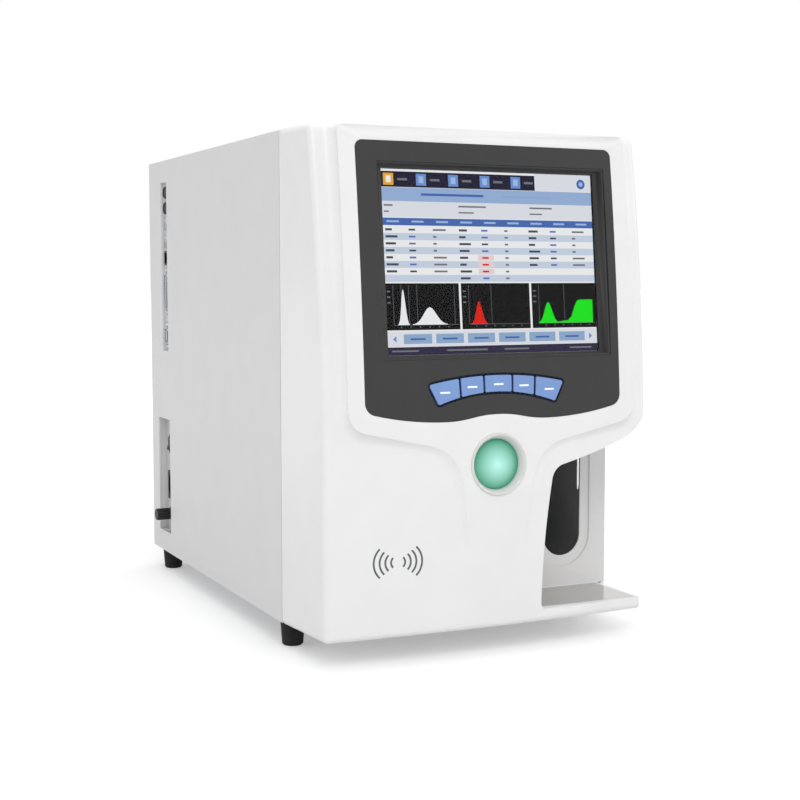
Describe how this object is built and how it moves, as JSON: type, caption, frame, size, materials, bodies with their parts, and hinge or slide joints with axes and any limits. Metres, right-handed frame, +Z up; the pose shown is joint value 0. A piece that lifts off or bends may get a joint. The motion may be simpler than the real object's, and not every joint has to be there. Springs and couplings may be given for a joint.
{
  "type": "hematology analyzer",
  "caption": "Bench-top blood analyzer: bowed white front with dark display surround, arc of soft keys, round start button, open sampling bay, grey cabinet.",
  "frame": {"origin": "bottom centre of the whole object's bounding box, on the plane under its feet", "axes": "+X to the right as seen from in front, +Y from the front to the back, +Z up"},
  "size_m": [0.3408, 0.5576, 0.466],
  "materials": {
    "white_plastic": "smooth satin moulding",
    "grey_paint": "fine powder coat",
    "zinc_sheet": "zinc-plated sheet",
    "dark_surround": "fine matte texture",
    "black_plastic": "matte",
    "display_glass": "clear touch glass",
    "display_panel": "satin",
    "key_blue": "translucent satin",
    "key_navy": "matte",
    "start_green": "translucent, brighter centre",
    "ring_silver": "satin silver",
    "bay_grey": "smooth matte",
    "tray_steel": "polished",
    "probe_steel": "polished",
    "machined_alloy": "machined",
    "circuit_board": "solder resist",
    "rubber": "matte",
    "port_metal": "plated",
    "clear_acrylic": "clear",
    "tan_plastic": "matte"
  },
  "bodies": {
    "cabinet": {"base_pan": "zinc_sheet", "rubber_feet": "rubber", "assembly_screws": "probe_steel", "inner_frame": "zinc_sheet", "left_side_cover": "grey_paint", "right_side_cover": "grey_paint", "top_cover": "grey_paint", "rear_panel": "grey_paint", "front_panel": "white_plastic", "display_bezel": "dark_surround", "screen_frame": "dark_surround", "touch_glass": "display_glass", "lcd_module": "display_panel", "display_bracket": "zinc_sheet", "keypad_tray": "key_navy", "key_board": "circuit_board", "start_button_ring": "ring_silver", "start_switch": "black_plastic", "card_reader": "circuit_board", "sampling_bay_liner": "bay_grey", "drip_tray": "tray_steel", "port_recess": "zinc_sheet", "keyboard_and_mouse_sockets": "black_plastic", "usb_sockets": "port_metal", "network_socket": "black_plastic", "printer_and_serial_ports": "port_metal", "power_recess": "zinc_sheet", "power_switch_body": "black_plastic", "mains_inlet": "black_plastic", "fuse_holder": "black_plastic", "main_board": "circuit_board", "power_supply": "zinc_sheet", "fan_housing": "black_plastic", "fan_guard": "probe_steel", "reagent_fittings": "tan_plastic", "divider_panel": "zinc_sheet", "probe_rail_frame": "machined_alloy", "traverse_motor": "black_plastic", "counting_chambers": "clear_acrylic", "syringe_pump": "machined_alloy", "valve_bank": "tan_plastic", "optical_bench": "machined_alloy", "vacuum_pump": "black_plastic"},
    "key_1": {"function_key_1": "key_blue"},
    "key_2": {"function_key_2": "key_blue"},
    "key_3": {"function_key_3": "key_blue"},
    "key_4": {"function_key_4": "key_blue"},
    "key_5": {"function_key_5": "key_blue"},
    "start_button": {"start_button": "start_green"},
    "power_rocker": {"power_rocker": "black_plastic"},
    "fuse_cap": {"fuse_cap": "black_plastic"},
    "carriage": {"probe_carriage": "machined_alloy", "lift_motor": "black_plastic", "rinse_block": "clear_acrylic"},
    "lift_screw": {"lift_screw": "probe_steel"},
    "probe": {"needle_holder": "machined_alloy", "sample_needle": "probe_steel"},
    "traverse_screw": {"traverse_screw": "probe_steel"},
    "fan": {"fan_impeller": "black_plastic"},
    "syringe_yoke": {"syringe_plungers": "machined_alloy"}
  },
  "joints": [
    {"name": "function_key_1_press", "type": "slide", "parent": "cabinet", "child": "key_1", "axis": [0, 0.9979, -0.0644], "range_m": [0, 0.001], "stiffness_N_per_m": 500},
    {"name": "function_key_2_press", "type": "slide", "parent": "cabinet", "child": "key_2", "axis": [0, 0.9979, -0.0644], "range_m": [0, 0.001], "stiffness_N_per_m": 500},
    {"name": "function_key_3_press", "type": "slide", "parent": "cabinet", "child": "key_3", "axis": [0, 0.9979, -0.0644], "range_m": [0, 0.001], "stiffness_N_per_m": 500},
    {"name": "function_key_4_press", "type": "slide", "parent": "cabinet", "child": "key_4", "axis": [0, 0.9979, -0.0644], "range_m": [0, 0.001], "stiffness_N_per_m": 500},
    {"name": "function_key_5_press", "type": "slide", "parent": "cabinet", "child": "key_5", "axis": [0, 0.9979, -0.0644], "range_m": [0, 0.001], "stiffness_N_per_m": 500},
    {"name": "start_button_press", "type": "slide", "parent": "cabinet", "child": "start_button", "axis": [0, 0.9992, -0.0401], "range_m": [0, 0.003], "stiffness_N_per_m": 500},
    {"name": "power_rocker_tilt", "type": "hinge", "parent": "cabinet", "child": "power_rocker", "pos_m": [-0.1493, 0.20591, 0.146], "axis": [0, -1, 0], "range_deg": [0, 14]},
    {"name": "fuse_cap_turn", "type": "hinge", "parent": "cabinet", "child": "fuse_cap", "pos_m": [-0.1546, 0.20591, 0.0666], "axis": [1, 0, 0], "range_deg": [0, 90]},
    {"name": "probe_traverse", "type": "slide", "parent": "cabinet", "child": "carriage", "axis": [0, 1, 0], "range_m": [0, 0.13]},
    {"name": "traverse_screw_spin", "type": "hinge", "parent": "cabinet", "child": "traverse_screw", "pos_m": [0.1429, -0.12389, 0.245], "axis": [0, 1, 0], "range_deg": [-10, 5860]},
    {"name": "probe_lift", "type": "slide", "parent": "carriage", "child": "probe", "axis": [0, 0, 1], "range_m": [-0.055, 0.02]},
    {"name": "lift_screw_spin", "type": "hinge", "parent": "carriage", "child": "lift_screw", "pos_m": [0.1264, -0.20389, 0.254], "axis": [0, 0, 1], "range_deg": [-2480, 905]},
    {"name": "fan_spin", "type": "hinge", "parent": "cabinet", "child": "fan", "pos_m": [-0.0726, 0.24111, 0.176], "axis": [0, 1, 0], "continuous": true},
    {"name": "syringe_stroke", "type": "slide", "parent": "cabinet", "child": "syringe_yoke", "axis": [0, 0, 1], "range_m": [0, 0.04]}
  ],
  "couplings": [
    {"joint": "traverse_screw_spin", "follows": "probe_traverse", "rad_per_m": 785.4},
    {"joint": "lift_screw_spin", "follows": "probe_lift", "rad_per_m": 785.4}
  ]
}
